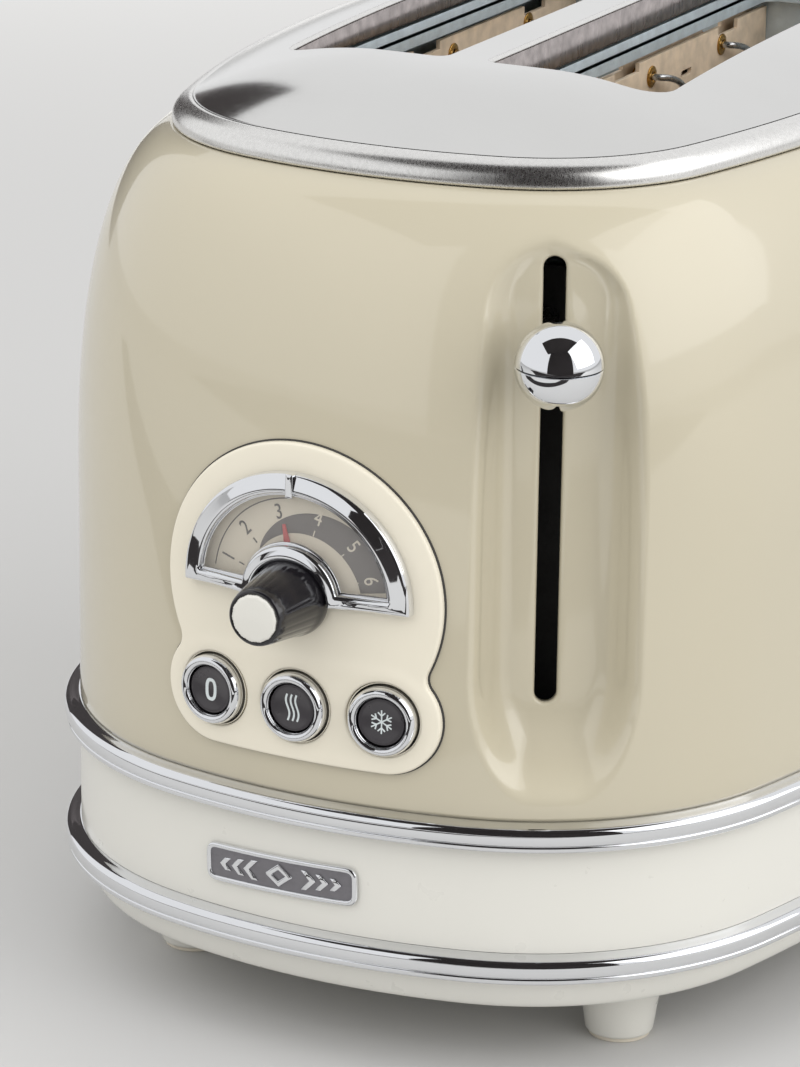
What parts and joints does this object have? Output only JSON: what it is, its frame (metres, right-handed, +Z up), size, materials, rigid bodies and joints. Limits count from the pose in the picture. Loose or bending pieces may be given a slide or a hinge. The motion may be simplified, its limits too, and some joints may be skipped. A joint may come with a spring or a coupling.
{
  "type": "pop-up toaster",
  "caption": "Two-slot pop-up toaster with a bowed enamelled body, bright trim bands, shade dial, push buttons and a ball-ended lift lever.",
  "frame": {"origin": "centre of the bounding box on the worktop, under the feet", "axes": "+Z up, -Y out of the control end with the dial and the lever, +X to the right when facing the control end"},
  "size_m": [0.2, 0.3264, 0.205],
  "materials": {
    "cream_body": "glossy cream enamel",
    "brushed_stainless": "brushed lengthwise, fine scratches on the rim",
    "chrome_trim": "mirror chrome plating",
    "ivory_plastic": "satin-gloss ivory moulding",
    "black_plastic": "glossy black moulding",
    "soft_rubber": "matt dark rubber",
    "clear_window": "clear moulded window",
    "dial_print": "printed scale on cream, dark crescent",
    "pointer_red": "satin red",
    "galvanised_sheet": "galvanised sheet, faint spangle",
    "bright_steel": "drawn steel wire and rod",
    "potentiometer_case": "pressed case",
    "magnet_winding": "lacquered copper winding",
    "circuit_board": "green laminate",
    "mica_board": "tan mica, layered flakes"
  },
  "bodies": {
    "body": {"outer_shell": "cream_body", "top_cover": "brushed_stainless", "badge_plate": "brushed_stainless", "upper_trim_band": "chrome_trim", "lower_trim_band": "chrome_trim", "dial_frame": "chrome_trim", "base_band": "ivory_plastic", "base_pan": "ivory_plastic", "control_panel": "ivory_plastic", "foot_front_left": "ivory_plastic", "foot_front_right": "ivory_plastic", "foot_rear_left": "ivory_plastic", "foot_rear_right": "ivory_plastic", "foot_pad_front_left": "soft_rubber", "foot_pad_front_right": "soft_rubber", "foot_pad_rear_left": "soft_rubber", "foot_pad_rear_right": "soft_rubber", "cord_gland": "soft_rubber", "dial_window": "clear_window", "dial_scale": "dial_print", "chassis_front_plate": "galvanised_sheet", "chassis_rear_plate": "galvanised_sheet", "chassis_top_plate": "galvanised_sheet", "reflector_left": "galvanised_sheet", "reflector_right": "galvanised_sheet", "guide_rod": "bright_steel", "lift_spring": "bright_steel", "base_screw_front_left": "bright_steel", "base_screw_front_right": "bright_steel", "base_screw_rear_left": "bright_steel", "base_screw_rear_right": "bright_steel", "shade_potentiometer": "potentiometer_case", "hold_down_magnet": "magnet_winding", "control_board": "circuit_board", "heater_board_outer_left": "mica_board", "heater_board_inner_left": "mica_board", "heater_board_outer_right": "mica_board", "heater_board_inner_right": "mica_board"},
    "lift": {"lever_ball_upper": "chrome_trim", "lever_ball_lower": "chrome_trim", "lever_stem": "bright_steel", "lift_carriage": "galvanised_sheet", "bread_rack_left": "bright_steel", "bread_rack_right": "bright_steel"},
    "guide_outer_left": {"bread_guide_outer_left": "bright_steel"},
    "guide_inner_left": {"bread_guide_inner_left": "bright_steel"},
    "guide_outer_right": {"bread_guide_outer_right": "bright_steel"},
    "guide_inner_right": {"bread_guide_inner_right": "bright_steel"},
    "shade_dial": {"dial_knob": "black_plastic", "dial_knob_cap": "ivory_plastic", "dial_shaft": "bright_steel", "dial_pointer": "pointer_red"},
    "cancel_button": {"cancel_button_ring": "chrome_trim", "cancel_button_face": "black_plastic"},
    "reheat_button": {"reheat_button_ring": "chrome_trim", "reheat_button_face": "black_plastic"},
    "defrost_button": {"defrost_button_ring": "chrome_trim", "defrost_button_face": "black_plastic"},
    "crumb_drawer": {"crumb_tray": "ivory_plastic"}
  },
  "joints": [
    {"name": "lift_slide", "type": "slide", "parent": "body", "child": "lift", "axis": [0, 0, 1], "range_m": [-0.07, 0.012], "stiffness_N_per_m": 120, "springref_m": 0.0115, "deforming": ["lift_spring"]},
    {"name": "guide_outer_left_slide", "type": "slide", "parent": "body", "child": "guide_outer_left", "axis": [1, 0, 0], "range_m": [-0.0013, 0.0071]},
    {"name": "guide_inner_left_slide", "type": "slide", "parent": "body", "child": "guide_inner_left", "axis": [1, 0, 0], "range_m": [-0.0071, 0.0013]},
    {"name": "guide_outer_right_slide", "type": "slide", "parent": "body", "child": "guide_outer_right", "axis": [1, 0, 0], "range_m": [-0.0071, 0.0013]},
    {"name": "guide_inner_right_slide", "type": "slide", "parent": "body", "child": "guide_inner_right", "axis": [1, 0, 0], "range_m": [-0.0013, 0.0071]},
    {"name": "shade_dial_turn", "type": "hinge", "parent": "body", "child": "shade_dial", "pos_m": [-0.0023, -0.14675, 0.1056], "axis": [0, -1, 0], "range_deg": [-85, 61]},
    {"name": "cancel_button_press", "type": "slide", "parent": "body", "child": "cancel_button", "axis": [0.1537, 0.9881, 0], "range_m": [0, 0.0025], "stiffness_N_per_m": 400, "springref_m": -0.002},
    {"name": "reheat_button_press", "type": "slide", "parent": "body", "child": "reheat_button", "axis": [0.0159, 0.9999, 0], "range_m": [0, 0.0025], "stiffness_N_per_m": 400, "springref_m": -0.002},
    {"name": "defrost_button_press", "type": "slide", "parent": "body", "child": "defrost_button", "axis": [-0.1219, 0.9925, 0], "range_m": [0, 0.0025], "stiffness_N_per_m": 400, "springref_m": -0.002},
    {"name": "crumb_tray_slide", "type": "slide", "parent": "body", "child": "crumb_drawer", "axis": [0, 1, 0], "range_m": [0, 0.19]}
  ],
  "couplings": [
    {"joint": "guide_outer_left_slide", "follows": "lift_slide", "ratio": -0.1},
    {"joint": "guide_inner_left_slide", "follows": "lift_slide", "ratio": 0.1},
    {"joint": "guide_outer_right_slide", "follows": "lift_slide", "ratio": 0.1},
    {"joint": "guide_inner_right_slide", "follows": "lift_slide", "ratio": -0.1}
  ]
}
